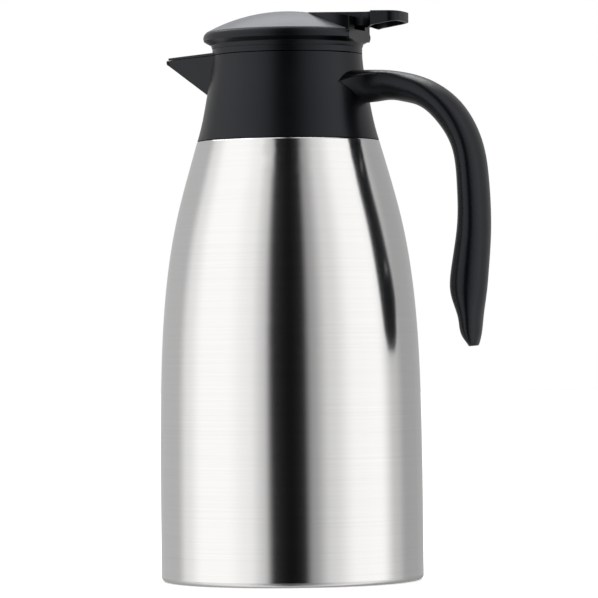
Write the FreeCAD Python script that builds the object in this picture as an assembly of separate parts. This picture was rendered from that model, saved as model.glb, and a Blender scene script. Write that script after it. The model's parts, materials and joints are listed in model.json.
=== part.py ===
"""Double-wall steel coffee carafe with a lever-operated pouring lid.

Millimetres, +Z up. The origin is the centre of the foot ring on the table, +X points to the
handle and -X to the spout. Every function builds one sub-part in its place at rest:
lid closed and locked, lever up, valve shut.
"""
import FreeCAD, Part
import math
import os

Vector = FreeCAD.Vector
Z_AXIS = Vector(0, 0, 1)
Y_AXIS = Vector(0, 1, 0)
ORIGIN = Vector(0, 0, 0)

# ---- steel flask -----------------------------------------------------------------------
shell_radius = 69.0
shell_wall = 0.7
foot_corner = 2.5
foot_ring_inner = 60.0
foot_recess = 3.0
# outer side of the tapered body, from the end of the straight part to the shoulder (r, z)
BODY_TAPER = [(69.0, 42.0), (68.7, 78.0), (67.6, 121.0), (64.5, 159.0), (58.5, 193.0), (48.2, 230.4)]
shoulder_z = 231.0
shoulder_inner = 45.2
mouth_z = 255.4
mouth_outer = 34.5
vacuum_gap = 7.2
liner_wall = 0.6
liner_floor_z = 9.5
liner_corner = 6.0
liner_body_top_z = 110.0
liner_shoulder_top_z = 200.0
neck_bore = 29.5
port_radius = 2.0
port_cover_radius = 11.0
getter_x = 26.0
getter_radius = 6.0

# ---- collar and spout ------------------------------------------------------------------
COLLAR_SIDE = [(47.9, 231.3), (45.0, 242.3), (42.6, 255.0), (40.05, 269.7), (39.5, 276.1)]
collar_wall = 2.3
collar_top_z = 276.1
web_z = 256.6
web_thickness = 2.0
web_bore = 31.0
rim_slope = 0.022
spout_tip_x = -66.8
spout_root_x = -34.3
spout_tip_half = 1.3
spout_root_half = 19.6
spout_tip_keel_z = 272.9
spout_root_keel_z = 248.7
keel_half = 0.9
spout_wall = 1.5
channel_keel_rise = 2.6
channel_back_x = -35.0
clamp_z = (243.5, 249.0)
clamp_bore = 36.4

# ---- lid -------------------------------------------------------------------------------
flange_radius = 39.5
flange_z = 276.5
flange_top_z = 279.7
dome_radius = 89.0
dome_apex_z = 299.4
dome_wall = 1.8
dome_edge = 42.7
deck_centre_x = 32.0
deck_radius = 19.3
deck_wall = 1.8
deck_slope = 0.12
deck_z_at_axis = 299.8
chord_x = 40.3
slot_half = 8.8
slot_front_wall = 1.0
slot_floor_z = 288.4
fork_passage_half = 6.5
fork_passage_z = 295.4
# waist, rim bead and the shelf that carries the dome, from the base plate up and back down (r, z)
LID_RIM_OUTSIDE = [(39.5, 279.7), (39.8, 280.3), (40.2, 281.8), (42.4, 282.9), (44.0, 283.9), (44.3, 285.5),
                   (43.9, 287.0), (43.2, 287.9), (42.85, 288.1)]
LID_RIM_INSIDE = [(42.85, 286.2), (38.5, 288.4), (38.5, 286.2), (40.6, 284.9), (38.4, 282.6), (38.0, 279.7)]
lid_screw_circle = 34.8
LID_SCREW_ANGLES = (60, 120, 240, 300)
lid_screw_radius = 1.5
beak_tip_x = -65.9
beak_tip_half = 1.1
beak_under_z = 276.4
beak_top_z = 277.7
beak_top_slope = 0.029

# ---- stopper and valve -----------------------------------------------------------------
stopper_radius = 27.0
stopper_wall = 2.0
stopper_bottom_z = 243.0
seat_thickness = 2.5
seat_bore = 8.0
gasket_z = (246.1, 251.9)
shoulder_radius = 28.6
lug_radius = 34.5
lug_z = (263.7, 266.2)
ledge_z = (266.5, 269.0)
ledge_inner = 31.5
stem_radius = 2.0
guide_bore = 2.08
valve_radius = 10.5
cap_z = (290.3, 292.3)
cap_radius = 6.0
spring_radius = 5.2
spring_wire = 0.5
spring_z = (249.0, 270.0)

# ---- lever -----------------------------------------------------------------------------
pivot_x = 30.5
pivot_z = 293.0
pin_radius = 1.5
pin_half_length = 12.5
arm_half = 8.4
arm_front_gap = 0.6
arm_end_x = 44.0
arm_bottom_z = 290.2
lever_front_top_z = 298.1
lever_top_slope = 0.0275
paddle_front_x = 50.3
paddle_half = 13.0
paddle_end_x = 65.0
paddle_step = 0.4
skirt_front_z = 288.0
skirt_end_z = 291.5
lever_wall = 1.7
barrel_radius = 3.2
fork_half = 6.0
PRONG_Y = (3.0, 5.6)
PRONG_Z = (286.9, 289.3)

arm_front_x = deck_centre_x - deck_radius + slot_front_wall + arm_front_gap

# ---- handle ----------------------------------------------------------------------------
# Stations along the handle: (outer x, outer z, inner x, inner z, half width, widest point as a share of
# the depth from the inner side, outer edge shape (n, m), inner edge shape (n, m)). A half of the section
# rises as (1 - |side| ** n) ** m over its side from -1 to 1: m 1 is a crisp side edge, m 0.5 a round one.
HANDLE_STATIONS = [
    (30.0, 266.9, 30.0, 249.4, 25.0, 0.60, (4.0, 1.0), (2.0, 1.0)),
    (35.0, 267.0, 35.0, 249.4, 22.3, 0.61, (4.0, 1.0), (2.0, 1.0)),
    (40.0, 267.1, 40.0, 249.7, 19.9, 0.71, (4.0, 1.0), (2.0, 1.0)),
    (46.0, 267.1, 46.0, 250.3, 17.3, 0.79, (3.6, 0.9), (2.0, 0.9)),
    (52.0, 267.0, 52.0, 250.9, 15.4, 0.82, (3.2, 0.8), (2.0, 0.8)),
    (60.3, 266.3, 59.5, 251.1, 14.1, 0.79, (2.8, 0.68), (2.1, 0.65)),
    (70.3, 264.2, 66.7, 249.6, 13.5, 0.72, (2.4, 0.58), (2.2, 0.55)),
    (79.5, 260.7, 73.5, 247.3, 13.5, 0.65, (2.0, 0.5), (2.3, 0.5)),
    (89.5, 254.2, 80.5, 241.8, 13.5, 0.58, (2.0, 0.5), (2.3, 0.5)),
    (97.5, 245.6, 86.3, 234.6, 13.5, 0.54, (2.0, 0.5), (2.3, 0.5)),
    (104.1, 233.3, 90.9, 225.7, 13.5, 0.52, (2.0, 0.5), (2.3, 0.5)),
    (108.4, 215.3, 93.4, 210.3, 13.5, 0.50, (2.0, 0.5), (2.3, 0.5)),
    (109.9, 191.9, 93.8, 191.1, 13.5, 0.50, (2.0, 0.5), (2.3, 0.5)),
    (109.1, 168.5, 91.1, 169.8, 13.5, 0.50, (2.0, 0.5), (2.3, 0.5)),
    (108.0, 155.6, 89.1, 156.0, 13.2, 0.50, (2.0, 0.5), (2.3, 0.5)),
    (106.5, 144.8, 90.8, 144.8, 12.4, 0.50, (2.0, 0.5), (2.3, 0.5)),
    (105.0, 133.8, 93.8, 133.5, 10.8, 0.50, (2.0, 0.5), (2.3, 0.5)),
    (103.9, 126.4, 96.1, 126.0, 8.4, 0.50, (2.0, 0.5), (2.3, 0.5)),
    (102.9, 122.7, 98.4, 122.2, 4.6, 0.50, (2.0, 0.5), (2.3, 0.5)),
]
SECTION_STEPS = 10
cover_depth = 0.2
COVER_SPAN = (7, 15)
SCREW_STATIONS = (9, 13)
handle_wall = 0.16
cover_screw_head = 3.0
cover_screw_shank = 1.5
root_screw_x = 38.1
root_screw_z = 253.2
root_screw_head = 3.0
root_screw_shank = 1.7


def spline_edge(points, tangents=None):
    """One smooth edge through 3-D points."""
    curve = Part.BSplineCurve()
    if tangents:
        curve.interpolate(Points=points, InitialTangent=tangents[0], FinalTangent=tangents[1])
    else:
        curve.interpolate(points)
    return curve.toShape()


def rz(point):
    """A (radius, height) pair as a point in the XZ plane."""
    return Vector(point[0], 0, point[1])


def line_chain(points):
    """Straight edges through (r, z) points."""
    return [Part.makeLine(rz(a), rz(b)) for a, b in zip(points, points[1:])]


def revolve(edges):
    """The closed solid swept by a closed (r, z) outline round the Z axis."""
    face = Part.Face(Part.Wire(Part.__sortEdges__(edges)))
    return face.revolve(ORIGIN, Z_AXIS, 360)


def revolve_polygon(points):
    """A turned solid from a closed polygon of (r, z) points."""
    return revolve(line_chain(points + points[:1]))


def ring(inner, outer, low, high):
    """A flat ring round the Z axis."""
    body = Part.makeCylinder(outer, high - low, Vector(0, 0, low))
    if inner > 0:
        body = body.cut(Part.makeCylinder(inner, high - low, Vector(0, 0, low)))
    return body


def block(x0, x1, y0, y1, z0, z1):
    """A box between two corners."""
    return Part.makeBox(x1 - x0, y1 - y0, z1 - z0, Vector(x0, y0, z0))


def prism_xz(points, half):
    """A prism across Y from a polygon in the XZ plane."""
    corners = [Vector(x, -half, z) for x, z in points]
    face = Part.Face(Part.makePolygon(corners + corners[:1]))
    return face.extrude(Vector(0, 2 * half, 0))


def slab(low, high):
    """Everything between two heights."""
    reach = 120.0
    return block(-reach, reach, -reach, reach, low, high)


def polar(radius, degrees, z=0.0):
    """A point at a radius and an angle round the Z axis."""
    angle = math.radians(degrees)
    return Vector(radius * math.cos(angle), radius * math.sin(angle), z)


def sector(inner, outer, low, high, centre_angle, half_angle):
    """A ring segment round the Z axis."""
    face_edges = []
    a0 = centre_angle - half_angle
    a1 = centre_angle + half_angle
    outer_points = [polar(outer, angle, low) for angle in (a0, centre_angle, a1)]
    inner_points = [polar(inner, angle, low) for angle in (a1, centre_angle, a0)]
    face_edges.append(Part.Arc(*outer_points).toShape())
    face_edges.append(Part.makeLine(outer_points[-1], inner_points[0]))
    face_edges.append(Part.Arc(*inner_points).toShape())
    face_edges.append(Part.makeLine(inner_points[-1], outer_points[0]))
    face = Part.Face(Part.Wire(face_edges))
    return face.extrude(Vector(0, 0, high - low))


# ---- flask -----------------------------------------------------------------------------
def body_taper(inset):
    """The body's tapered side, moved inwards by an inset."""
    return [(r - inset, z) for r, z in BODY_TAPER]


def outer_wall():
    """The outer wall as one: straight side, taper, shoulder ledge and neck up to the mouth."""
    outer_taper = body_taper(0)
    inner_taper = body_taper(shell_wall)
    outer_top = [outer_taper[-1], (47.7, shoulder_z), (shoulder_inner, shoulder_z), (36.0, 247.0),
                 (mouth_outer, 251.0), (mouth_outer, mouth_z), (neck_bore + liner_wall, mouth_z)]
    lip_z = mouth_z - shell_wall
    inner_top = [(neck_bore + liner_wall, lip_z), (mouth_outer - shell_wall, lip_z),
                 (mouth_outer - shell_wall, 250.8), (35.2, 246.6), (44.7, shoulder_z - shell_wall),
                 inner_taper[-1]]
    inner_radius = shell_radius - shell_wall
    edges = [Part.makeLine(rz((shell_radius, foot_corner)), rz(outer_taper[0]))]
    edges.append(spline_edge([rz(p) for p in outer_taper], (Vector(0, 0, 1), Vector(-0.27, 0, 0.96))))
    edges += line_chain(outer_top + inner_top)
    edges.append(spline_edge([rz(p) for p in inner_taper], (Vector(0, 0, 1), Vector(-0.27, 0, 0.96))))
    edges += line_chain([inner_taper[0], (inner_radius, foot_corner), (shell_radius, foot_corner)])
    return revolve(edges)


def outer_shell():
    """The brushed outer wall up to the shoulder ledge that the collar stands on."""
    return outer_wall().common(slab(0, shoulder_z))


def shell_neck():
    """The neck pressing, welded on the shoulder ledge and turned in to the mouth."""
    return outer_wall().common(slab(shoulder_z, mouth_z))


def foot_arc(radius, thickness_in):
    """The quarter round between the wall and the foot ring."""
    centre_r = shell_radius - foot_corner
    size = foot_corner - thickness_in
    diagonal = size * math.sqrt(0.5)
    start = rz((radius, foot_corner))
    middle = rz((centre_r + diagonal, foot_corner - diagonal))
    return Part.Arc(start, middle, rz((centre_r, thickness_in))).toShape()


def outer_base():
    """The pressed bottom: rounded edge, flat foot ring and raised centre with the pump-out hole."""
    t = shell_wall
    centre_r = shell_radius - foot_corner
    lower = [(centre_r, 0), (foot_ring_inner, 0), (foot_ring_inner - 1.8, foot_recess),
             (port_radius, foot_recess), (port_radius, foot_recess + t),
             (foot_ring_inner - 1.4, foot_recess + t), (foot_ring_inner + 0.4, t), (centre_r, t)]
    edges = [foot_arc(shell_radius, 0)]
    edges += line_chain(lower)
    edges.append(foot_arc(shell_radius - t, t))
    edges += line_chain([(shell_radius - t, foot_corner), (shell_radius, foot_corner)])
    return revolve(edges)


def vacuum_port_plug():
    """The sealing bead in the pump-out hole."""
    stalk = Part.makeCylinder(port_radius, shell_wall, Vector(0, 0, foot_recess))
    bead = Part.makeCylinder(port_radius * 1.8, 1.2, Vector(0, 0, foot_recess + shell_wall))
    return stalk.fuse(bead).removeSplitter()


def vacuum_port_cover():
    """The small disc stuck over the pump-out hole."""
    disc = Part.makeCylinder(port_cover_radius, 0.8, Vector(0, 0, foot_recess - 0.8))
    return disc.makeFillet(0.3, [disc.Edges[2]])


def getter_capsule():
    """The getter that keeps the vacuum, on the inside of the base."""
    low = foot_recess + shell_wall
    body = Part.makeCylinder(getter_radius, 2.2, Vector(getter_x, 0, low))
    dimple = Part.makeCylinder(getter_radius - 1.5, 0.6, Vector(getter_x, 0, low + 1.6))
    return body.cut(dimple)


def liner_side(inset):
    """The liner's outer side from the floor seam to the mouth, moved inwards by an inset."""
    gap = shell_wall + vacuum_gap + inset
    body = [(r - gap, z) for r, z in BODY_TAPER[:-1]]
    shoulder = [(52.2 - gap, 216.0), (36.0 - inset, 233.5), (neck_bore + liner_wall - inset, 243.0)]
    return body + shoulder


def liner():
    """The liner's whole side, from the turned-up edge of its bottom to the mouth."""
    outer = liner_side(0)
    inner = liner_side(liner_wall)
    floor_z = liner_floor_z + liner_corner
    ends = (Vector(0, 0, 1), Vector(0, 0, 1))
    edges = [spline_edge([rz(p) for p in outer], ends), spline_edge([rz(p) for p in inner], ends)]
    edges += line_chain([outer[-1], (outer[-1][0], mouth_z), (inner[-1][0], mouth_z), inner[-1]])
    edges += line_chain([outer[0], (outer[0][0], floor_z), (inner[0][0], floor_z), inner[0]])
    return revolve(edges)


def liner_body():
    """The lower, nearly straight part of the liner."""
    return liner().common(slab(0, liner_body_top_z))


def liner_shoulder():
    """The tapering middle part of the liner."""
    return liner().common(slab(liner_body_top_z, liner_shoulder_top_z))


def liner_neck():
    """The liner's top part, drawn in to the neck and welded to the mouth."""
    return liner().common(slab(liner_shoulder_top_z, mouth_z))


def inner_bottom():
    """The liner's pressed bottom, welded to it at its turned-up edge."""
    radius = liner_side(0)[0][0]
    corner = liner_corner
    inner_radius = radius - liner_wall
    diagonal = math.sqrt(0.5)
    centre = (radius - corner, liner_floor_z + corner)
    outer_mid = (centre[0] + corner * diagonal, centre[1] - corner * diagonal)
    small = corner - liner_wall
    inner_mid = (centre[0] + small * diagonal, centre[1] - small * diagonal)
    edges = [Part.Arc(rz((radius, centre[1])), rz(outer_mid), rz((centre[0], liner_floor_z))).toShape()]
    edges += line_chain([(centre[0], liner_floor_z), (0, liner_floor_z), (0, liner_floor_z + liner_wall),
                         (centre[0], liner_floor_z + liner_wall)])
    edges.append(Part.Arc(rz((inner_radius, centre[1])), rz(inner_mid),
                          rz((centre[0], liner_floor_z + liner_wall))).toShape())
    edges += line_chain([(inner_radius, centre[1]), (radius, centre[1])])
    return revolve(edges)


# ---- collar ----------------------------------------------------------------------------
def collar_radius(z):
    """The collar's outer radius at a height, straight between its side points."""
    for (r0, z0), (r1, z1) in zip(COLLAR_SIDE, COLLAR_SIDE[1:]):
        if z <= z1:
            return r0 + (r1 - r0) * (z - z0) / (z1 - z0)
    return COLLAR_SIDE[-1][0]


def collar_outline(inset):
    """The collar's flared side as an edge, moved inwards by an inset."""
    return spline_edge([rz((r - inset, z)) for r, z in COLLAR_SIDE])


def collar_fill(inset):
    """Everything inside the collar's side, as a solid to cut with."""
    low = (COLLAR_SIDE[0][0] - inset, COLLAR_SIDE[0][1])
    high = (COLLAR_SIDE[-1][0] - inset, COLLAR_SIDE[-1][1])
    return revolve([collar_outline(inset)] + line_chain([high, (0, high[1]), (0, low[1]), low]))


def spout_body(half_inset, keel_rise, tip_x, top_z):
    """A V-shaped spout block: a wide root on the collar running out to a narrow tip."""
    sections = []
    run = spout_root_x - spout_tip_x
    for x in (spout_root_x, tip_x):
        share = (spout_root_x - x) / run
        half = spout_root_half + (spout_tip_half - spout_root_half) * share - half_inset
        keel_z = spout_root_keel_z + (spout_tip_keel_z - spout_root_keel_z) * share + keel_rise
        low_half = min(keel_half, half * 0.6) * (0.5 if half_inset else 1.0)
        top_half = low_half + (half - low_half) * (top_z - keel_z) / (collar_top_z - keel_z)
        corners = [Vector(x, -top_half, top_z), Vector(x, top_half, top_z), Vector(x, low_half, keel_z),
                   Vector(x, -low_half, keel_z)]
        sections.append(Part.makePolygon(corners + corners[:1]))
    return Part.makeLoft(sections, True, True)


def below_rim_cone():
    """The space under the rim, whose top slopes down outwards beyond the collar."""
    far = 80.0
    top = collar_top_z
    return revolve_polygon([(0, 200), (far, 200), (far, top - (far - flange_radius) * rim_slope),
                            (flange_radius, top), (0, top)])


def collar():
    """The moulded collar: flared skirt, web over the mouth, bayonet ledges and open spout."""
    outer = collar_fill(0)
    tip_centre = Vector(spout_tip_x, 0, spout_tip_keel_z + spout_tip_half)
    nose = Part.makeSphere(spout_tip_half, tip_centre).fuse(Part.makeCylinder(spout_tip_half, 6, tip_centre))
    spout = spout_body(0, 0, spout_tip_x, collar_top_z + 1).fuse(nose)
    body = outer.fuse(spout.common(below_rim_cone()))
    hollow_low = collar_fill(collar_wall).common(block(-60, 60, -60, 60, 230, web_z))
    hollow_high = collar_fill(collar_wall).common(block(-60, 60, -60, 60, web_z + web_thickness, 280))
    body = body.cut(hollow_low).cut(hollow_high)
    body = body.cut(Part.makeCylinder(web_bore, 10, Vector(0, 0, web_z - 4)))
    channel = spout_body(spout_wall, channel_keel_rise, spout_tip_x + 2.4, collar_top_z + 1)
    channel = channel.common(block(-80, channel_back_x, -20, 20, web_z + web_thickness + 1.0, 290))
    body = body.cut(channel)
    for angle in (90, 270):
        ledge = sector(ledge_inner, 38.6, ledge_z[0], ledge_z[1], angle, 23)
        body = body.fuse(ledge.common(outer))
    root_hole = Part.makeCylinder(root_screw_shank, 8, Vector(37, 0, root_screw_z), Vector(1, 0, 0))
    return body.cut(root_hole).removeSplitter()


def neck_gasket():
    """The flat seal between the steel mouth and the collar's web."""
    return ring(web_bore, mouth_outer, mouth_z, web_z)


def collar_clamp_ring():
    """The split ring that holds the collar down on the steel neck."""
    outer_low = collar_radius(clamp_z[0]) - collar_wall - 0.35
    outer_high = collar_radius(clamp_z[1]) - collar_wall - 0.35
    bore_low = 39.2
    body = revolve_polygon([(bore_low, clamp_z[0]), (outer_low, clamp_z[0]), (outer_high, clamp_z[1]),
                            (clamp_bore, clamp_z[1]), (clamp_bore, clamp_z[1] - 1.2)])
    gap = block(-50, 0, -1.5, 1.5, 240, 252)
    return body.cut(gap)


# ---- handle ----------------------------------------------------------------------------
def station_point(station, depth, side):
    """A point of a handle section: depth 0 is the inner side and 1 the outer, side is along Y."""
    outer_x, outer_z, inner_x, inner_z = station[:4]
    return Vector(inner_x + (outer_x - inner_x) * depth, side, inner_z + (outer_z - inner_z) * depth)


def edge_rise(side, shape):
    """How far a half section rises at a side from -1 to 1: 0 at its edges and 1 in the middle."""
    n, m = shape
    return max(0.0, 1.0 - abs(side) ** n) ** m


def handle_section(station):
    """The closed section of the handle at a station: a crowned outer half and a flatter inner half."""
    half, widest, outer_shape, inner_shape = station[4:]
    outer_half = []
    inner_half = []
    for step in range(SECTION_STEPS + 1):
        side = math.cos(math.pi * step / SECTION_STEPS)
        outer_rise = edge_rise(side, outer_shape)
        inner_rise = edge_rise(side, inner_shape)
        outer_half.append(station_point(station, widest + (1 - widest) * outer_rise, half * side))
        inner_half.append(station_point(station, widest - widest * inner_rise, half * side))
    return Part.Wire([spline_edge(outer_half), spline_edge(inner_half[::-1])])


def handle_block():
    """The whole handle as one block, ending on the collar."""
    sections = [handle_section(station) for station in HANDLE_STATIONS]
    block_shape = Part.makeLoft(sections, True, False, False, 3)
    return block_shape.cut(collar_fill(0))


def handle_tube(first, last, depth_range, half):
    """A four-sided bar that follows the handle between two stations."""
    sections = []
    for station in HANDLE_STATIONS[first:last + 1]:
        width = station[4] * half
        low, high = depth_range
        corners = [station_point(station, low, -width), station_point(station, low, width),
                   station_point(station, high, width), station_point(station, high, -width)]
        sections.append(Part.makePolygon(corners + corners[:1]))
    return Part.makeLoft(sections, True, False, False, 3)


def screw_axis(index):
    """Start point on the inner side and direction into the handle at a station."""
    station = HANDLE_STATIONS[index]
    start = station_point(station, 0.0, 0.0)
    return start, (station_point(station, 1.0, 0.0) - start).normalize()


def screw_solid(index):
    """A cover screw at a station: a head in the cover and a shank in the handle."""
    start, direction = screw_axis(index)
    head = Part.makeCylinder(cover_screw_head, 2.0, start + direction * 1.2, direction)
    shank = Part.makeCylinder(cover_screw_shank, 10.0, start + direction * 1.2, direction)
    return head.fuse(shank)


def handle_pieces():
    """The handle shell, its inner cover and the screws that join them."""
    whole = handle_block()
    splitter = handle_tube(COVER_SPAN[0], COVER_SPAN[1], (-0.5, cover_depth), 3.0)
    cover = whole.common(splitter)
    shell = whole.cut(splitter)
    pocket = handle_tube(COVER_SPAN[0], COVER_SPAN[1] - 1, (cover_depth - 0.05, 1 - handle_wall), 0.5)
    for index in SCREW_STATIONS:
        start, direction = screw_axis(index)
        pocket = pocket.cut(Part.makeCylinder(4.0, 30.0, start - direction * 2, direction))
    shell = shell.cut(pocket)
    screws = []
    for index in SCREW_STATIONS:
        start, direction = screw_axis(index)
        cover = cover.cut(Part.makeCylinder(cover_screw_head, 6.0, start - direction * 2.8, direction))
        solid = screw_solid(index)
        cover = cover.cut(solid)
        shell = shell.cut(solid)
        screws.append(solid)
    root_screw = handle_root_screw()
    shell = shell.cut(root_screw)
    return shell, cover, Part.makeCompound(screws)


def handle_root_screw():
    """The screw through the collar's wall into the handle root."""
    start = Vector(root_screw_x, 0, root_screw_z)
    head = Part.makeCylinder(root_screw_head, 2.0, start, Vector(1, 0, 0))
    shank = Part.makeCylinder(root_screw_shank, 11.0, start, Vector(1, 0, 0))
    return head.fuse(shank)


# ---- lid -------------------------------------------------------------------------------
def dome_fill(radius):
    """Everything under the lid's spherical top."""
    return Part.makeSphere(radius, Vector(0, 0, dome_apex_z - dome_radius))


def below_deck_plane(drop):
    """The space under the sloping top of the deck."""
    x0, x1 = -10.0, 60.0
    return prism_xz([(x0, 270), (x1, 270), (x1, deck_z_at_axis - deck_slope * x1 - drop),
                     (x0, deck_z_at_axis - deck_slope * x0 - drop)], 60)


def deck_column(radius, back_x, low, limit):
    """The deck's round plan, cut off at the back and kept within the rim."""
    column = Part.makeCylinder(radius, 300 - low, Vector(deck_centre_x, 0, low))
    column = column.common(block(-20, back_x, -60, 60, low, 301))
    return column.common(Part.makeCylinder(limit, 300 - low, Vector(0, 0, low)))


def lid_rim_ring():
    """The lid's waist and rim bead with the shelf that carries the dome."""
    return revolve_polygon(LID_RIM_OUTSIDE + LID_RIM_INSIDE)


def lid_rim_fill():
    """Everything inside the lid's waist and rim bead."""
    low = LID_RIM_OUTSIDE[0][1]
    high = LID_RIM_OUTSIDE[-1][1]
    return revolve_polygon([(0, low)] + LID_RIM_OUTSIDE + [(0, high)])


def round_front(radius):
    """A tall plan that is round at the front, concentric with the deck, and open behind its centre."""
    low = 275.0
    height = 35.0
    disc = Part.makeCylinder(radius, height, Vector(deck_centre_x, 0, low))
    return disc.fuse(block(deck_centre_x, 80, -radius, radius, low, low + height))


def lever_pocket():
    """The room for the lever: its slot, the well under its arm and the passage for its fork."""
    slot = block(0, 60, -slot_half, slot_half, slot_floor_z, 310)
    well = block(0, chord_x - deck_wall, -slot_half, slot_half, 279.0, 300)
    pocket = slot.fuse(well).common(round_front(deck_radius - slot_front_wall))
    passage = block(0, deck_centre_x, -fork_passage_half, fork_passage_half, 279.0, fork_passage_z)
    return pocket.fuse(passage)


def lid_cover():
    """The black lid top: waist, rim, raised deck with the lever slot, pin bosses and screw bosses."""
    deck = deck_column(deck_radius, chord_x, 283.0, 43.7).common(below_deck_plane(0))
    hollow = deck_column(deck_radius - deck_wall, chord_x - deck_wall, 280.0, 41.6)
    hollow = hollow.common(below_deck_plane(deck_wall))
    cheek_half = slot_half + deck_wall
    cheeks = block(0, chord_x, -cheek_half, cheek_half, 285.0, 300)
    cheeks = cheeks.common(below_deck_plane(0))
    cheeks = cheeks.common(Part.makeCylinder(deck_radius, 30, Vector(deck_centre_x, 0, 280)))
    rear_wall = block(chord_x - deck_wall, chord_x, -20.0, 20.0, flange_top_z, 290).common(lid_rim_fill())
    body = lid_rim_ring().cut(block(chord_x, 60, -60, 60, 270, 310))
    body = body.fuse(deck.cut(hollow)).fuse(cheeks).fuse(rear_wall)
    for side in (-1, 1):
        boss = Part.makeCylinder(4.0, 5.2, Vector(pivot_x, side * slot_half, pivot_z), Y_AXIS * side)
        body = body.fuse(boss.common(below_deck_plane(0)))
    for angle in LID_SCREW_ANGLES:
        body = body.fuse(Part.makeCylinder(3.4, 8.3, polar(lid_screw_circle, angle, flange_top_z)))
    body = body.cut(lever_pocket())
    body = body.cut(lever_pin())
    for angle in LID_SCREW_ANGLES:
        start = polar(lid_screw_circle, angle, flange_top_z)
        body = body.cut(Part.makeCylinder(lid_screw_radius, 6.6, start))
    return body.removeSplitter()


def lid_dome():
    """The satin cap on the lid, with a round bite for the deck."""
    cap = dome_fill(dome_radius).cut(dome_fill(dome_radius - dome_wall))
    cap = cap.common(Part.makeCylinder(dome_edge, 20, Vector(0, 0, 284)))
    bite = Part.makeCylinder(deck_radius + 0.15, 40, Vector(deck_centre_x, 0, 270))
    return cap.cut(bite)


def beak():
    """The flat beak that covers the spout, sloping down a little to its round tip."""
    low = 268.0
    height = 14.0
    corners = [Vector(spout_root_x, -spout_root_half, low), Vector(spout_root_x, spout_root_half, low),
               Vector(beak_tip_x, beak_tip_half, low), Vector(beak_tip_x, -beak_tip_half, low)]
    plan = Part.Face(Part.makePolygon(corners + corners[:1])).extrude(Vector(0, 0, height))
    plan = plan.fuse(Part.makeCylinder(beak_tip_half, height, Vector(beak_tip_x, 0, low)))
    start = 34.0
    far = 70.0
    under = beak_under_z - (far - flange_radius) * rim_slope
    over = beak_top_z - (far - flange_radius) * beak_top_slope
    skin = revolve_polygon([(start, beak_under_z), (flange_radius, beak_under_z), (far, under), (far, over),
                            (flange_radius, beak_top_z), (start, beak_top_z)])
    return plan.common(skin)


def lid_base():
    """The lid's base plate with the beak and the stem guide."""
    plate = Part.makeCylinder(flange_radius, flange_top_z - flange_z, Vector(0, 0, flange_z))
    guide = Part.makeCylinder(7.0, flange_z - spring_z[1], Vector(0, 0, spring_z[1]))
    body = plate.fuse(guide).fuse(beak())
    body = body.cut(Part.makeCylinder(guide_bore, 20, Vector(0, 0, spring_z[1] - 1)))
    for screw in lid_screw_solids():
        body = body.cut(screw)
    return body.removeSplitter()


def lid_screw_solids():
    """The screws that hold the lid cover down on its base."""
    screws = []
    for angle in LID_SCREW_ANGLES:
        head = Part.makeCylinder(2.8, 1.8, polar(lid_screw_circle, angle, flange_z))
        shank = Part.makeCylinder(lid_screw_radius, 8.8, polar(lid_screw_circle, angle, flange_z))
        screws.append(head.fuse(shank))
    return screws


# ---- stopper and valve -----------------------------------------------------------------
def stopper_body():
    """The stopper under the lid: tube, gasket groove, pouring window and bayonet lugs."""
    inner = stopper_radius - stopper_wall
    tube = revolve_polygon([
        (inner, stopper_bottom_z), (shoulder_radius, stopper_bottom_z), (shoulder_radius, gasket_z[0] - 0.1),
        (stopper_radius, gasket_z[0] - 0.1), (stopper_radius, gasket_z[1] + 0.1),
        (shoulder_radius, gasket_z[1] + 0.1), (shoulder_radius, gasket_z[1] + 2.0),
        (stopper_radius, gasket_z[1] + 2.6),
        (stopper_radius, 273.0), (31.0, 274.3), (31.0, flange_z), (inner, flange_z)])
    window = sector(10, 40, gasket_z[1] + 5.0, 272.0, 180, 30)
    body = tube.cut(window)
    for angle in (90, 270):
        lug = sector(inner + 0.6, lug_radius, lug_z[0], lug_z[1], angle, 20)
        body = body.fuse(lug)
    return body.removeSplitter()


def valve_seat():
    """The stopper's bottom plate with the raised lip of the valve opening."""
    plate = ring(seat_bore, stopper_radius - stopper_wall, stopper_bottom_z, stopper_bottom_z + 1.7)
    lip = ring(seat_bore, seat_bore + 1.4, stopper_bottom_z, stopper_bottom_z + seat_thickness)
    return plate.fuse(lip).removeSplitter()


def lid_gasket():
    """The silicone ring that grips the neck: a plain bore and two outer lips."""
    bore = stopper_radius + 0.06
    lip = neck_bore - 0.06
    root = shoulder_radius - 0.1
    low, high = gasket_z
    return revolve_polygon([(bore, low), (root, low), (lip, low + 1.0), (lip, low + 2.0),
                            (root, low + 2.6), (root, high - 2.6), (lip, high - 2.0), (lip, high - 1.0),
                            (root, high), (bore, high)])


def valve_head():
    """The disc that opens and closes the stopper, with its hub on the stem."""
    disc = ring(stem_radius, valve_radius, 247.0, spring_z[0])
    hub = ring(stem_radius, 4.0, spring_z[0], 252.0)
    return disc.fuse(hub).removeSplitter()


def valve_seal():
    """The silicone washer under the valve disc."""
    return ring(stem_radius, valve_radius, 245.7, 247.0)


def valve_stem():
    """The rod that carries the valve, with its foot under the washer."""
    rod = Part.makeCylinder(stem_radius, cap_z[1] - 244.5, Vector(0, 0, 244.5))
    foot = Part.makeCylinder(5.0, 1.2, Vector(0, 0, 244.5))
    return rod.fuse(foot).removeSplitter()


def stem_cap():
    """The cap on the stem that the lever's fork lifts."""
    return ring(stem_radius, cap_radius, cap_z[0], cap_z[1])


def valve_spring():
    """The coil spring that keeps the valve shut."""
    turns = 7
    height = spring_z[1] - spring_z[0] - 2 * spring_wire
    helix = Part.makeHelix(height / turns, height, spring_radius)
    helix.translate(Vector(0, 0, spring_z[0] + spring_wire))
    start = Vector(spring_radius, 0, spring_z[0] + spring_wire)
    circle = Part.Wire(Part.makeCircle(spring_wire, start, Y_AXIS))
    return Part.Wire(helix).makePipeShell([circle], True, True)


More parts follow.
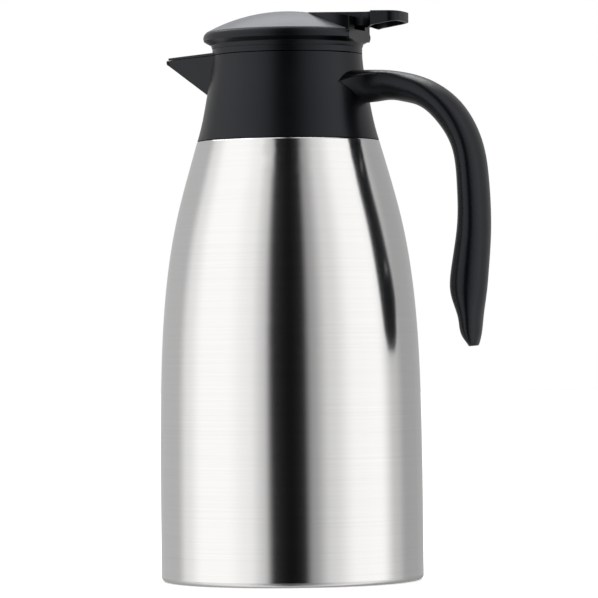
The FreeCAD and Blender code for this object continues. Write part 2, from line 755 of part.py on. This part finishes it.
# ---- lever -----------------------------------------------------------------------------
def lever_plan(inset):
    """The lever seen from above as a face: a straight arm that opens into a rounded paddle."""
    front = arm_front_x + inset
    neck = arm_half - inset
    wide = paddle_half - inset
    end = paddle_end_x - inset
    points = {
        "arm_end": (arm_end_x, neck),
        "fillet": (arm_end_x + 3.9 + 0.6 * inset, neck + 1.28 + 0.2 * inset),
        "shoulder": (paddle_front_x + inset, wide),
        "side": (paddle_end_x - 6.4, wide - 0.2),
        "corner": (paddle_end_x - 2.0 - 0.7 * inset, wide - 2.0 + 0.3 * inset),
        "end": (end - 0.4, 6.8 - 0.5 * inset),
    }

    def at(name, side):
        x, y = points[name]
        return Vector(x, side * y, 0)

    edges = [Part.makeLine(Vector(front, -neck, 0), Vector(front, neck, 0))]
    for side in (-1, 1):
        edges.append(Part.makeLine(Vector(front, side * neck, 0), at("arm_end", side)))
        edges.append(Part.Arc(at("arm_end", side), at("fillet", side), at("shoulder", side)).toShape())
        edges.append(Part.makeLine(at("shoulder", side), at("side", side)))
        edges.append(Part.Arc(at("side", side), at("corner", side), at("end", side)).toShape())
    edges.append(Part.Arc(at("end", -1), Vector(end, 0, 0), at("end", 1)).toShape())
    return Part.Face(Part.Wire(Part.__sortEdges__(edges)))


def lever_top(x):
    """The height of the arm's top, which falls a little towards the paddle."""
    return lever_front_top_z - (x - arm_front_x) * lever_top_slope


def lever_block():
    """The lever's outside: the plan raised between its skirt line and its top line."""
    plan = lever_plan(0)
    plan.translate(Vector(0, 0, 280))
    front = arm_front_x - 1
    far = paddle_end_x + 1
    side = prism_xz([(front, arm_bottom_z), (arm_end_x, arm_bottom_z), (paddle_front_x, skirt_front_z),
                     (far, skirt_end_z), (far, lever_top(far) + paddle_step),
                     (paddle_front_x, lever_top(paddle_front_x) + paddle_step),
                     (paddle_front_x - paddle_step, lever_top(paddle_front_x)),
                     (front, lever_top(front))], 30)
    nose = round_front(deck_radius - slot_front_wall - arm_front_gap)
    return plan.extrude(Vector(0, 0, 25)).common(side).common(nose)


def lever_hollow():
    """The hollow under the lever's top wall."""
    plan = lever_plan(lever_wall)
    plan.translate(Vector(0, 0, 280))
    front = arm_front_x - 1
    far = paddle_end_x + 1
    side = prism_xz([(front, 280), (far, 280), (far, lever_top(far) - lever_wall),
                     (front, lever_top(front) - lever_wall)], 30)
    nose = round_front(deck_radius - slot_front_wall - arm_front_gap - lever_wall)
    return plan.extrude(Vector(0, 0, 25)).common(side).common(nose)


def lever():
    """The press lever: hollow arm and paddle, pivot barrel and the fork that lifts the valve stem."""
    body = lever_block().cut(lever_hollow())
    barrel = Part.makeCylinder(barrel_radius, 2 * arm_half, Vector(pivot_x, -arm_half, pivot_z), Y_AXIS)
    web_back = arm_front_x + 2.6
    web = block(arm_front_x, web_back, -fork_half, fork_half, PRONG_Z[0], lever_front_top_z - 0.8)
    web = web.common(round_front(deck_radius - slot_front_wall - arm_front_gap))
    body = body.fuse(barrel).fuse(web)
    pad_radius = 1.5
    pad_z = cap_z[0] - 0.15 - pad_radius
    for side in (-1, 1):
        low, high = sorted((side * PRONG_Y[0], side * PRONG_Y[1]))
        prong = block(0, web_back, low, high, PRONG_Z[0], PRONG_Z[1])
        pad = Part.makeCylinder(pad_radius, high - low, Vector(0, low, pad_z), Y_AXIS)
        body = body.fuse(prong).fuse(pad)
    bore = Part.makeCylinder(pin_radius + 0.05, 40, Vector(pivot_x, -20, pivot_z), Y_AXIS)
    return body.cut(bore).removeSplitter()


def lever_pin():
    """The pin the lever turns on, held in the deck's bosses."""
    start = Vector(pivot_x, -pin_half_length, pivot_z)
    return Part.makeCylinder(pin_radius, 2 * pin_half_length, start, Y_AXIS)


def build():
    """Every sub-part by name."""
    handle_shell, handle_cover, handle_screws = handle_pieces()
    return {
        "outer_shell": outer_shell(),
        "outer_base": outer_base(),
        "shell_neck": shell_neck(),
        "liner_body": liner_body(),
        "liner_shoulder": liner_shoulder(),
        "liner_neck": liner_neck(),
        "inner_bottom": inner_bottom(),
        "getter_capsule": getter_capsule(),
        "vacuum_port_plug": vacuum_port_plug(),
        "vacuum_port_cover": vacuum_port_cover(),
        "collar": collar(),
        "neck_gasket": neck_gasket(),
        "collar_clamp_ring": collar_clamp_ring(),
        "handle_shell": handle_shell,
        "handle_cover": handle_cover,
        "handle_screws": handle_screws,
        "handle_root_screw": handle_root_screw(),
        "lid_gasket": lid_gasket(),
        "lid_base": lid_base(),
        "lid_cover": lid_cover(),
        "lid_dome": lid_dome(),
        "lid_screws": Part.makeCompound(lid_screw_solids()),
        "stopper_body": stopper_body(),
        "valve_seat": valve_seat(),
        "valve_spring": valve_spring(),
        "lever_pin": lever_pin(),
        "lever": lever(),
        "valve_stem": valve_stem(),
        "valve_head": valve_head(),
        "valve_seal": valve_seal(),
        "stem_cap": stem_cap(),
    }


def main():
    """Write one STEP file per sub-part."""
    os.makedirs("parts", exist_ok=True)
    for name, shape in build().items():
        count = len(shape.Solids)
        volume = sum(solid.Volume for solid in shape.Solids)
        print(f"{name}: solids {count} valid {shape.isValid()} volume {volume / 1000:.2f} cm3")
        shape.exportStep(f"parts/{name}.step")


main()
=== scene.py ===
import json
import math

import bmesh
import bpy
from mathutils import Matrix, Vector


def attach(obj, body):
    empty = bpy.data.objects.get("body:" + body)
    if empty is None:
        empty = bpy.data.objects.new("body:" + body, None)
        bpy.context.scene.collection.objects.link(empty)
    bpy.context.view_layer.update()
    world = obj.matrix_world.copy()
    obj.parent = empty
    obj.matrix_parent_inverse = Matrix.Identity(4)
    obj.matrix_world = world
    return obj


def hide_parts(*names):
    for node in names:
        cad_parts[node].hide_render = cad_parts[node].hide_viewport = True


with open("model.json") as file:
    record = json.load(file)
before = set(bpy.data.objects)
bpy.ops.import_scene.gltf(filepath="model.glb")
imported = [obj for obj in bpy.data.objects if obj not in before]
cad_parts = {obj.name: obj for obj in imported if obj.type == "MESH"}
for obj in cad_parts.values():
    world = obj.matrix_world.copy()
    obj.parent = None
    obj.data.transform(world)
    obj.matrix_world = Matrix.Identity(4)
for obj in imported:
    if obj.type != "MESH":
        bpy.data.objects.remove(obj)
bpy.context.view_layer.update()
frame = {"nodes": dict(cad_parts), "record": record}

MM = 0.001
WHITE = (1.0, 1.0, 1.0, 1.0)
SLOTS = {entry["node"]: entry["material_slot"] for entry in frame["record"]["subparts"]}

# ---- camera ----------------------------------------------------------------------------
# lengths in metres, the lens and its sensor in millimetres, the roll in degrees
CAMERA_AZIMUTH = math.radians(19.0)
CAMERA_DISTANCE = 2.0896
CAMERA_HEIGHT = 0.131
CAMERA_ROLL = -0.6
CAMERA_REACH = 50.0
VIEW_HEIGHT = 0.1479
VIEW_RIGHT = 0.0048
LENS = 238.7
SENSOR_WIDTH = 36.0


def beside(right, nearer, height):
    """A point given from the carafe's axis as the camera sees it: to the right, towards the camera, up."""
    side = Vector((math.cos(CAMERA_AZIMUTH), math.sin(CAMERA_AZIMUTH), 0.0))
    towards = Vector((math.sin(CAMERA_AZIMUTH), -math.cos(CAMERA_AZIMUTH), 0.0))
    return side * right + towards * nearer + Vector((0.0, 0.0, height))


def make_camera():
    """The camera looks across from mid height, a little round towards the handle, rolled a little."""
    data = bpy.data.cameras.new("camera")
    data.lens = LENS
    data.sensor_width = SENSOR_WIDTH
    data.clip_end = CAMERA_REACH
    camera = bpy.data.objects.new("camera", data)
    bpy.context.collection.objects.link(camera)
    place = beside(VIEW_RIGHT, CAMERA_DISTANCE, CAMERA_HEIGHT)
    target = beside(VIEW_RIGHT, 0.0, VIEW_HEIGHT)
    look = (target - place).to_track_quat("-Z", "Y").to_matrix().to_4x4()
    roll = Matrix.Rotation(math.radians(CAMERA_ROLL), 4, "Z")
    camera.matrix_world = Matrix.Translation(place) @ look @ roll
    bpy.context.scene.camera = camera


# ---- node helpers ----------------------------------------------------------------------
# the middle of a noise's range, where most of its values lie, from wide to narrow
WIDE = (0.25, 0.75)
MIDDLE = (0.3, 0.7)
NARROW = (0.35, 0.65)
FULL = (0.0, 1.0)
EVEN = (1.0, 1.0, 1.0)


def new_material(name):
    """An empty node material with its principled shader."""
    material = bpy.data.materials.new(name)
    material.use_nodes = True
    tree = material.node_tree
    tree.nodes.clear()
    output = tree.nodes.new("ShaderNodeOutputMaterial")
    shader = tree.nodes.new("ShaderNodeBsdfPrincipled")
    tree.links.new(shader.outputs["BSDF"], output.inputs["Surface"])
    return material, tree, shader


def set_inputs(node, values):
    """Fixed values on a node's own sockets."""
    for name, value in values.items():
        node.inputs[name].default_value = value


def noise(tree, scale, detail=4.0, roughness=0.55, frequency=1.0):
    """A noise value over object coordinates, stretched by a scale for each axis."""
    source = tree.nodes.new("ShaderNodeTexCoord")
    mapping = tree.nodes.new("ShaderNodeMapping")
    set_inputs(mapping, {"Scale": scale})
    tree.links.new(source.outputs["Object"], mapping.inputs["Vector"])
    node = tree.nodes.new("ShaderNodeTexNoise")
    set_inputs(node, {"Scale": frequency, "Detail": detail, "Roughness": roughness})
    tree.links.new(mapping.outputs["Vector"], node.inputs["Vector"])
    return node.outputs["Fac"]


def remap(tree, value, within, onto):
    """A value mapped from one range onto another, clamped."""
    node = tree.nodes.new("ShaderNodeMapRange")
    tree.links.new(value, node.inputs["Value"])
    set_inputs(node, {"From Min": within[0], "From Max": within[1], "To Min": onto[0], "To Max": onto[1]})
    return node.outputs["Result"]


def calculate(tree, operation, first, second):
    """A sum, angle or other result of two values."""
    node = tree.nodes.new("ShaderNodeMath")
    node.operation = operation
    tree.links.new(first, node.inputs[0])
    tree.links.new(second, node.inputs[1])
    return node.outputs["Value"]


def blend_colours(tree, factor, first, second):
    """A colour between two colours."""
    node = tree.nodes.new("ShaderNodeMix")
    node.data_type = "RGBA"
    tree.links.new(factor, node.inputs["Factor"])
    set_inputs(node, {"A": (*first, 1.0), "B": (*second, 1.0)})
    return node.outputs["Result"]


def add_bump(tree, shader, height, strength, distance, edge_radius=0.0):
    """Relief from a height value, over edges that are softened by a radius."""
    node = tree.nodes.new("ShaderNodeBump")
    set_inputs(node, {"Strength": strength, "Distance": distance})
    tree.links.new(height, node.inputs["Height"])
    if edge_radius:
        edges = tree.nodes.new("ShaderNodeBevel")
        edges.samples = EDGE_SAMPLES
        set_inputs(edges, {"Radius": edge_radius})
        tree.links.new(edges.outputs["Normal"], node.inputs["Normal"])
    tree.links.new(node.outputs["Normal"], shader.inputs["Normal"])


# ---- materials -------------------------------------------------------------------------
# softening of the moulded pieces' shading at their edges
EDGE_RADIUS = 0.45 * MM
EDGE_SAMPLES = 6

# the steel wall's streaks run round the body, so they are packed closely along its height
STREAK_SCALE = (7.0, 7.0, 2400.0)
STREAK_COLOURS = (0.615, 0.61, 0.605), (0.665, 0.66, 0.655)
STREAK_ROUGHNESS = (0.15, 0.20)
STREAK_RELIEF = 0.04 * MM
CLOUD_SCALE = (14.0, 14.0, 5.0)
CLOUD_ROUGHNESS = (-0.01, 0.02)

# bare drawn steel of the base and the liner
DRAWN_SCALE = (60.0, 60.0, 900.0)
DRAWN_COLOURS = (0.50, 0.495, 0.49), (0.60, 0.60, 0.595)
DRAWN_ROUGHNESS = (0.24, 0.36)
DRAWN_RELIEF = 0.05 * MM

# small plated pieces
PLATED_SCALE = (700.0, 700.0, 700.0)
PLATED_DARKEST = 0.85
PLATED_SPREAD = 0.1
PLATED_RELIEF = 0.03 * MM

# moulded plastic: its grain, the slow clouds in its colour and gloss, and its cool reflections
PLASTIC_RELIEF = 0.04 * MM
PLASTIC_CLOUD_FREQUENCY = 28.0
PLASTIC_LIGHTEST = 1.5
UNEVEN_LESS, UNEVEN_MORE = -0.02, 0.03
COOL_GLOSS = (0.84, 0.90, 1.0, 1.0)

# milky silicone
SILICONE_FREQUENCY = 120.0
SILICONE_COLOURS = (0.72, 0.72, 0.69), (0.82, 0.82, 0.80)
SILICONE_ROUGHNESS = (0.38, 0.5)
SILICONE_RELIEF = 0.1 * MM
SILICONE_DEPTH = (3.0 * MM, 3.0 * MM, 3.0 * MM)


def brushed_steel():
    """Stainless steel brushed round the body, with fine streaks of brightness and gloss."""
    material, tree, shader = new_material("brushed_steel_wall")
    set_inputs(shader, {"Metallic": 1.0, "Anisotropic": 0.75, "Anisotropic Rotation": 0.25})
    tangent = tree.nodes.new("ShaderNodeTangent")
    tangent.direction_type = "RADIAL"
    tangent.axis = "Z"
    tree.links.new(tangent.outputs["Tangent"], shader.inputs["Tangent"])
    streaks = noise(tree, STREAK_SCALE, detail=6.0, roughness=0.7)
    clouds = noise(tree, CLOUD_SCALE, detail=2.0)
    colour = blend_colours(tree, remap(tree, streaks, MIDDLE, FULL), *STREAK_COLOURS)
    tree.links.new(colour, shader.inputs["Base Color"])
    gloss = calculate(tree, "ADD", remap(tree, streaks, WIDE, STREAK_ROUGHNESS),
                      remap(tree, clouds, MIDDLE, CLOUD_ROUGHNESS))
    tree.links.new(gloss, shader.inputs["Roughness"])
    add_bump(tree, shader, streaks, 0.05, STREAK_RELIEF)
    return material


def drawn_steel():
    """Drawn steel of the base and the liner."""
    material, tree, shader = new_material("bare_steel")
    set_inputs(shader, {"Metallic": 1.0, "Anisotropic": 0.4})
    grain = noise(tree, DRAWN_SCALE, detail=5.0)
    tree.links.new(blend_colours(tree, grain, *DRAWN_COLOURS), shader.inputs["Base Color"])
    tree.links.new(remap(tree, grain, MIDDLE, DRAWN_ROUGHNESS), shader.inputs["Roughness"])
    add_bump(tree, shader, grain, 0.1, DRAWN_RELIEF)
    return material


def plated_metal(name, colour, roughness):
    """Bright plated metal of screws, pin and spring."""
    material, tree, shader = new_material(name)
    set_inputs(shader, {"Metallic": 1.0})
    grain = noise(tree, PLATED_SCALE, detail=4.0)
    darker = tuple(part * PLATED_DARKEST for part in colour)
    tree.links.new(blend_colours(tree, grain, darker, colour), shader.inputs["Base Color"])
    gloss = remap(tree, grain, MIDDLE, (roughness, roughness + PLATED_SPREAD))
    tree.links.new(gloss, shader.inputs["Roughness"])
    add_bump(tree, shader, grain, 0.15, PLATED_RELIEF)
    return material


def moulded_plastic(name, colour, roughness, grain_size, grain_strength, ior):
    """Satin moulded plastic: a fine eroded grain, faint flow clouds and slightly uneven gloss."""
    material, tree, shader = new_material(name)
    grain = noise(tree, EVEN, detail=3.0, roughness=0.6, frequency=1.0 / (grain_size * MM))
    clouds = noise(tree, EVEN, detail=3.0, roughness=0.5, frequency=PLASTIC_CLOUD_FREQUENCY)
    lighter = tuple(part * PLASTIC_LIGHTEST for part in colour)
    shade = blend_colours(tree, remap(tree, clouds, NARROW, FULL), colour, lighter)
    tree.links.new(shade, shader.inputs["Base Color"])
    gloss = calculate(tree, "ADD",
                      remap(tree, clouds, MIDDLE, (roughness + UNEVEN_LESS, roughness + UNEVEN_MORE)),
                      remap(tree, grain, MIDDLE, (UNEVEN_LESS, UNEVEN_MORE)))
    tree.links.new(gloss, shader.inputs["Roughness"])
    set_inputs(shader, {"IOR": ior, "Specular Tint": COOL_GLOSS})
    add_bump(tree, shader, grain, grain_strength, PLASTIC_RELIEF, EDGE_RADIUS)
    return material


def silicone():
    """Milky silicone of the seals."""
    material, tree, shader = new_material("clear_silicone")
    clouds = noise(tree, EVEN, detail=4.0, frequency=SILICONE_FREQUENCY)
    tree.links.new(blend_colours(tree, clouds, *SILICONE_COLOURS), shader.inputs["Base Color"])
    tree.links.new(remap(tree, clouds, MIDDLE, SILICONE_ROUGHNESS), shader.inputs["Roughness"])
    set_inputs(shader, {"Subsurface Weight": 0.25, "Subsurface Radius": SILICONE_DEPTH})
    add_bump(tree, shader, clouds, 0.1, SILICONE_RELIEF)
    return material


# plastics: name, colour, roughness, grain size in millimetres, grain strength, index of refraction
PLASTICS = [
    ("black_plastic", (0.0008, 0.0009, 0.0012), 0.31, 0.35, 0.22, 1.36),
    ("lever_plastic", (0.0008, 0.0009, 0.0011), 0.33, 0.30, 0.25, 1.34),
    ("satin_grey_plastic", (0.076, 0.079, 0.088), 0.42, 0.28, 0.15, 1.45),
]

MATERIALS = {
    "brushed_steel_wall": brushed_steel(),
    "bare_steel": drawn_steel(),
    "zinc_plated_steel": plated_metal("zinc_plated_steel", (0.66, 0.67, 0.69), 0.28),
    "spring_wire": plated_metal("spring_wire", (0.72, 0.72, 0.72), 0.18),
    **{plastic[0]: moulded_plastic(*plastic) for plastic in PLASTICS},
    "clear_silicone": silicone(),
}


def finish_nodes():
    """Every CAD node gets the material of its slot."""
    for name, node in frame["nodes"].items():
        material = MATERIALS[SLOTS[name]]
        if not node.material_slots:
            node.data.materials.append(material)
        for slot in node.material_slots:
            slot.link = "OBJECT"
            slot.material = material


# ---- mouldings -------------------------------------------------------------------------
# rounding of the moulded pieces' edges, in millimetres
EDGE_ROUNDING = {
    "collar": 0.35,
    "lid_base": 0.30,
    "lid_cover": 0.35,
    "lid_dome": 0.40,
    "lever": 0.40,
    "handle_shell": 0.25,
    "handle_cover": 0.30,
}
ROUNDING_STEPS = 3
# the lowest line of the lever's paddle, as x and height in millimetres
SKIRT_LINE = [(45.5, 288.0), (50.3, 290.0), (66.0, 292.4)]
SHARP_FROM = math.radians(32.0)
FLAT_WITHIN = math.radians(0.3)
SAME_POINT = 0.001 * MM


def body_named(name):
    """The body that a CAD node rides on."""
    for body, nodes in frame["record"]["behaviour"]["bodies"].items():
        if name in nodes:
            return body
    return "root"


def lift_skirt(mesh):
    """Raise the bottom of the lever's paddle to its line, which climbs towards the paddle's end."""
    for vertex in mesh.verts:
        for (start, start_z), (end, end_z) in zip(SKIRT_LINE, SKIRT_LINE[1:]):
            if start * MM < vertex.co.x <= end * MM:
                part = (vertex.co.x / MM - start) / (end - start)
                vertex.co.z = max(vertex.co.z, (start_z + part * (end_z - start_z)) * MM)


def clean_copy(name):
    """A joined-up copy of a CAD node's mesh, with its flat faces merged."""
    mesh = bmesh.new()
    mesh.from_mesh(frame["nodes"][name].data)
    bmesh.ops.remove_doubles(mesh, verts=mesh.verts, dist=SAME_POINT)
    if name == "lever":
        lift_skirt(mesh)
    bmesh.ops.dissolve_limit(mesh, angle_limit=FLAT_WITHIN, verts=mesh.verts, edges=mesh.edges)
    for face in mesh.faces:
        face.smooth = True
    for edge in mesh.edges:
        edge.smooth = True
    data = bpy.data.meshes.new(name + "_moulding")
    mesh.to_mesh(data)
    mesh.free()
    return data


def rounded_moulding(name, rounding):
    """A moulded piece in place of its CAD node, with rounded edges."""
    piece = bpy.data.objects.new(name + "_moulding", clean_copy(name))
    bpy.context.collection.objects.link(piece)
    bevel = piece.modifiers.new("rounding", "BEVEL")
    bevel.width = rounding * MM
    bevel.segments = ROUNDING_STEPS
    bevel.limit_method = "ANGLE"
    bevel.angle_limit = SHARP_FROM
    bevel.miter_outer = "MITER_ARC"
    shading = piece.modifiers.new("shading", "WEIGHTED_NORMAL")
    shading.keep_sharp = True
    finished = piece.evaluated_get(bpy.context.evaluated_depsgraph_get())
    data = bpy.data.meshes.new_from_object(finished)
    piece.modifiers.clear()
    piece.data = data
    data.materials.clear()
    data.materials.append(MATERIALS[SLOTS[name]])
    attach(piece, body_named(name))
    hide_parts(name)


# ---- studio ----------------------------------------------------------------------------
# wall brightness by the angle from the camera's side, in degrees, + to the right (linear)
WALL_BRIGHTNESS = [
    (-180, 0.56), (-120, 0.66), (-104, 1.15), (-85, 1.50), (-60, 1.50), (-38, 1.30), (-24, 0.88),
    (-16, 0.02), (0, 0.005), (11, 0.015), (19, 0.47),
    (36, 1.00), (60, 1.45), (85, 1.50), (104, 0.80), (120, 0.52), (180, 0.50),
]
# colours stop at 1, so the walls are stored at half their brightness and lit twice as strongly
WALL_STRENGTH = 2.0

FLOOR_SIZE = 12.0
FLOOR_DROP = 0.2 * MM
FLOOR_COLOURS = (0.93, 0.93, 0.93), (0.95, 0.95, 0.95)
FLOOR_FREQUENCY = 3.0

SOFTBOX_PLACE = beside(-0.15, -0.6, 1.3)
SOFTBOX_TARGET = (0.0, 0.0, 0.28)
SOFTBOX_SIZE = (1.4, 1.0)
SOFTBOX_POWER = 12.0


def turn_from_camera(tree):
    """The direction of a ray round the carafe, from 0 to 1, with the camera's side at one half."""
    coordinates = tree.nodes.new("ShaderNodeTexCoord")
    turned = tree.nodes.new("ShaderNodeMapping")
    set_inputs(turned, {"Rotation": (0.0, 0.0, -CAMERA_AZIMUTH)})
    tree.links.new(coordinates.outputs["Generated"], turned.inputs["Vector"])
    split = tree.nodes.new("ShaderNodeSeparateXYZ")
    tree.links.new(turned.outputs["Vector"], split.inputs["Vector"])
    flip = tree.nodes.new("ShaderNodeMath")
    flip.operation = "MULTIPLY"
    flip.inputs[1].default_value = -1.0
    tree.links.new(split.outputs["Y"], flip.inputs[0])
    azimuth = calculate(tree, "ARCTAN2", split.outputs["X"], flip.outputs["Value"])
    return remap(tree, azimuth, (-math.pi, math.pi), FULL)


def wall_colour(tree, turn):
    """The walls' grey, eased from stop to stop round the carafe."""
    ramp = tree.nodes.new("ShaderNodeValToRGB")
    ramp.color_ramp.interpolation = "EASE"
    elements = ramp.color_ramp.elements
    for degrees, level in WALL_BRIGHTNESS:
        if degrees == -180:
            element = elements[0]
        elif degrees == 180:
            element = elements[-1]
        else:
            element = elements.new((degrees + 180.0) / 360.0)
        grey = level / WALL_STRENGTH
        element.color = (grey, grey, grey, 1.0)
    tree.links.new(turn, ramp.inputs["Fac"])
    return ramp.outputs["Color"]


def studio_world():
    """Studio walls: a dark gap behind the camera, bright walls at both sides, grey behind the carafe."""
    world = bpy.data.worlds.new("studio")
    bpy.context.scene.world = world
    world.use_nodes = True
    tree = world.node_tree
    tree.nodes.clear()
    output = tree.nodes.new("ShaderNodeOutputWorld")
    walls = tree.nodes.new("ShaderNodeBackground")
    set_inputs(walls, {"Strength": WALL_STRENGTH})
    tree.links.new(wall_colour(tree, turn_from_camera(tree)), walls.inputs["Color"])
    backdrop = tree.nodes.new("ShaderNodeBackground")
    set_inputs(backdrop, {"Color": WHITE, "Strength": 1.0})
    path = tree.nodes.new("ShaderNodeLightPath")
    choose = tree.nodes.new("ShaderNodeMixShader")
    tree.links.new(path.outputs["Is Camera Ray"], choose.inputs["Fac"])
    tree.links.new(walls.outputs["Background"], choose.inputs[1])
    tree.links.new(backdrop.outputs["Background"], choose.inputs[2])
    tree.links.new(choose.outputs["Shader"], output.inputs["Surface"])


def make_softbox():
    """The soft rectangular light overhead, aimed at the lid."""
    data = bpy.data.lights.new("overhead_softbox", "AREA")
    data.shape = "RECTANGLE"
    data.size, data.size_y = SOFTBOX_SIZE
    data.energy = SOFTBOX_POWER
    light = bpy.data.objects.new("overhead_softbox", data)
    bpy.context.collection.objects.link(light)
    light.location = SOFTBOX_PLACE
    aim = Vector(SOFTBOX_TARGET) - SOFTBOX_PLACE
    light.rotation_euler = aim.to_track_quat("-Z", "Y").to_euler()
    light.visible_camera = False


def make_floor():
    """A plain pale floor, part of the studio."""
    bpy.ops.mesh.primitive_plane_add(size=FLOOR_SIZE, location=(0, 0, -FLOOR_DROP))
    floor = bpy.context.object
    floor.name = "studio_floor"
    material, tree, shader = new_material("studio_floor")
    tint = noise(tree, EVEN, frequency=FLOOR_FREQUENCY)
    tree.links.new(blend_colours(tree, tint, *FLOOR_COLOURS), shader.inputs["Base Color"])
    set_inputs(shader, {"Roughness": 0.9, "Specular IOR Level": 0.1})
    set_inputs(shader, {"Emission Color": WHITE, "Emission Strength": 0.45})
    floor.data.materials.append(material)
    floor.visible_glossy = False


def make_studio():
    """Walls, floor and the overhead softbox."""
    studio_world()
    make_floor()
    make_softbox()
    bpy.context.scene.view_settings.view_transform = "Standard"
    bpy.context.scene.view_settings.look = "None"


make_camera()
make_studio()
finish_nodes()
for node_name, node_rounding in EDGE_ROUNDING.items():
    rounded_moulding(node_name, node_rounding)
